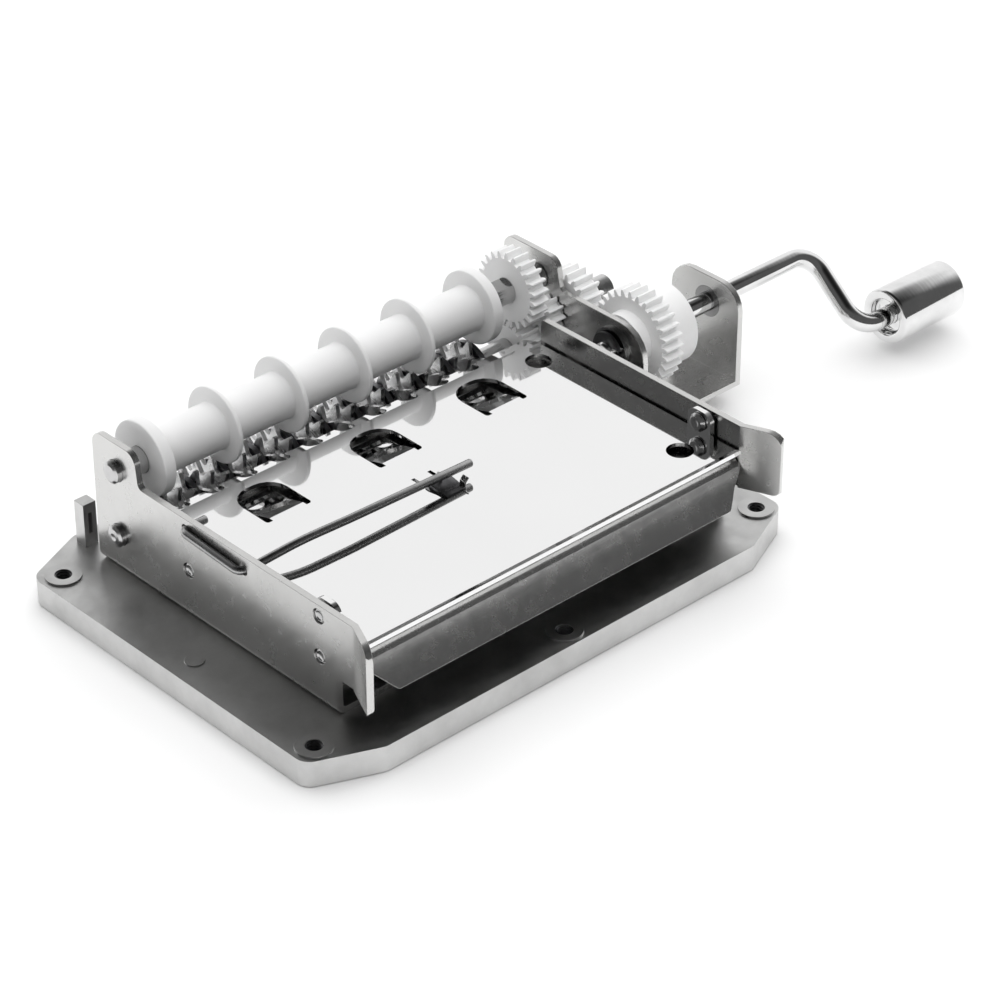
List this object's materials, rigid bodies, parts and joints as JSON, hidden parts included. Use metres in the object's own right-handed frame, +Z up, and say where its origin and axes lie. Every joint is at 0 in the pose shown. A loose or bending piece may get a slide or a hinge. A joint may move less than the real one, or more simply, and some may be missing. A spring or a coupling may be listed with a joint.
{
  "type": "music box movement",
  "caption": "Hand-cranked music movement: gears turn a roller that draws a punched paper strip over star wheels, which pluck a steel comb.",
  "frame": {"origin": "underside of the base plate, on the paper track's centre line, half-way along the plate's depth", "axes": "+X across the paper towards the crank, +Y along the paper from the entry to the rollers, +Z up"},
  "size_m": [0.1524, 0.0676, 0.0271],
  "materials": {
    "cast_zinc": "as cast, dull grey",
    "nickel_sheet": "satin nickel plate",
    "polished_steel": "mirror polish",
    "steel": "bright",
    "comb_steel": "ground",
    "lead": "dull",
    "anvil_zinc": "as cast",
    "damper_plastic": "soft",
    "disc_steel": "dark, knurled",
    "star_steel": "stamped",
    "clear_nylon": "translucent white",
    "white_nylon": "moulded",
    "bush_steel": "turned",
    "chrome": "bright plated"
  },
  "bodies": {
    "frame": {"base_plate": "cast_zinc", "left_side_plate": "nickel_sheet", "right_rail": "nickel_sheet", "gear_frame": "nickel_sheet", "frame_screws": "steel", "lower_guide": "nickel_sheet", "guide_rivets": "steel", "pivot_rivets": "steel", "wire_spring": "steel", "comb": "comb_steel", "comb_weights": "lead", "comb_anvil": "anvil_zinc", "comb_screws": "steel", "damper_bar": "damper_plastic", "crank_bushes": "bush_steel"},
    "press_plate": {"top_plate": "polished_steel"},
    "feed_shaft": {"feed_shaft": "steel", "feed_discs": "disc_steel", "feed_gear": "white_nylon"},
    "roller": {"upper_roller": "clear_nylon", "roller_axle": "steel", "roller_gear": "white_nylon"},
    "intermediate": {"intermediate_shaft": "steel", "pinion": "white_nylon", "outer_gear": "white_nylon", "intermediate_ring": "steel"},
    "crank": {"crank_gear": "white_nylon", "crank_rod": "chrome", "crank_clip": "steel", "knob_washer": "steel"},
    "knob": {"crank_knob": "chrome", "knob_cap": "chrome"},
    "stars_01": {"star_wheels_01": "star_steel"},
    "stars_02": {"star_wheels_02": "star_steel"},
    "stars_03": {"star_wheels_03": "star_steel"},
    "stars_04": {"star_wheels_04": "star_steel"},
    "stars_05": {"star_wheels_05": "star_steel"},
    "stars_06": {"star_wheels_06": "star_steel"},
    "stars_07": {"star_wheels_07": "star_steel"},
    "stars_08": {"star_wheels_08": "star_steel"},
    "stars_09": {"star_wheels_09": "star_steel"},
    "stars_10": {"star_wheels_10": "star_steel"}
  },
  "joints": [
    {"name": "crank_spin", "type": "hinge", "parent": "frame", "child": "crank", "pos_m": [0.054, 0.00575, 0.0154], "axis": [1, 0, 0], "continuous": true},
    {"name": "intermediate_spin", "type": "hinge", "parent": "frame", "child": "intermediate", "pos_m": [0.046, 0.01821, 0.01641], "axis": [1, 0, 0], "continuous": true},
    {"name": "feed_shaft_spin", "type": "hinge", "parent": "frame", "child": "feed_shaft", "pos_m": [0, 0.0218, 0.0104], "axis": [1, 0, 0], "continuous": true},
    {"name": "roller_spin", "type": "hinge", "parent": "frame", "child": "roller", "pos_m": [0, 0.0218, 0.0209], "axis": [1, 0, 0], "continuous": true},
    {"name": "knob_spin", "type": "hinge", "parent": "crank", "child": "knob", "pos_m": [0.099, -0.00536, 0.00608], "axis": [1, 0, 0], "continuous": true},
    {"name": "press_plate_lift", "type": "hinge", "parent": "frame", "child": "press_plate", "pos_m": [0, -0.02105, 0.01845], "axis": [1, 0, 0], "range_deg": [0, 1], "stiffness_Nm_per_rad": 0.2, "springref_deg": -4.01},
    {"name": "stars_01_spin", "type": "hinge", "parent": "frame", "child": "stars_01", "pos_m": [-0.0278, 0.0218, 0.0104], "axis": [1, 0, 0], "continuous": true},
    {"name": "stars_02_spin", "type": "hinge", "parent": "frame", "child": "stars_02", "pos_m": [-0.0218, 0.0218, 0.0104], "axis": [1, 0, 0], "continuous": true},
    {"name": "stars_03_spin", "type": "hinge", "parent": "frame", "child": "stars_03", "pos_m": [-0.0158, 0.0218, 0.0104], "axis": [1, 0, 0], "continuous": true},
    {"name": "stars_04_spin", "type": "hinge", "parent": "frame", "child": "stars_04", "pos_m": [-0.0098, 0.0218, 0.0104], "axis": [1, 0, 0], "continuous": true},
    {"name": "stars_05_spin", "type": "hinge", "parent": "frame", "child": "stars_05", "pos_m": [-0.0038, 0.0218, 0.0104], "axis": [1, 0, 0], "continuous": true},
    {"name": "stars_06_spin", "type": "hinge", "parent": "frame", "child": "stars_06", "pos_m": [0.0022, 0.0218, 0.0104], "axis": [1, 0, 0], "continuous": true},
    {"name": "stars_07_spin", "type": "hinge", "parent": "frame", "child": "stars_07", "pos_m": [0.0082, 0.0218, 0.0104], "axis": [1, 0, 0], "continuous": true},
    {"name": "stars_08_spin", "type": "hinge", "parent": "frame", "child": "stars_08", "pos_m": [0.0142, 0.0218, 0.0104], "axis": [1, 0, 0], "continuous": true},
    {"name": "stars_09_spin", "type": "hinge", "parent": "frame", "child": "stars_09", "pos_m": [0.0202, 0.0218, 0.0104], "axis": [1, 0, 0], "continuous": true},
    {"name": "stars_10_spin", "type": "hinge", "parent": "frame", "child": "stars_10", "pos_m": [0.0262, 0.0218, 0.0104], "axis": [1, 0, 0], "continuous": true}
  ],
  "couplings": [
    {"joint": "intermediate_spin", "follows": "crank_spin", "ratio": -1.381},
    {"joint": "feed_shaft_spin", "follows": "crank_spin", "ratio": 0.65414},
    {"joint": "roller_spin", "follows": "crank_spin", "ratio": -0.54037}
  ]
}
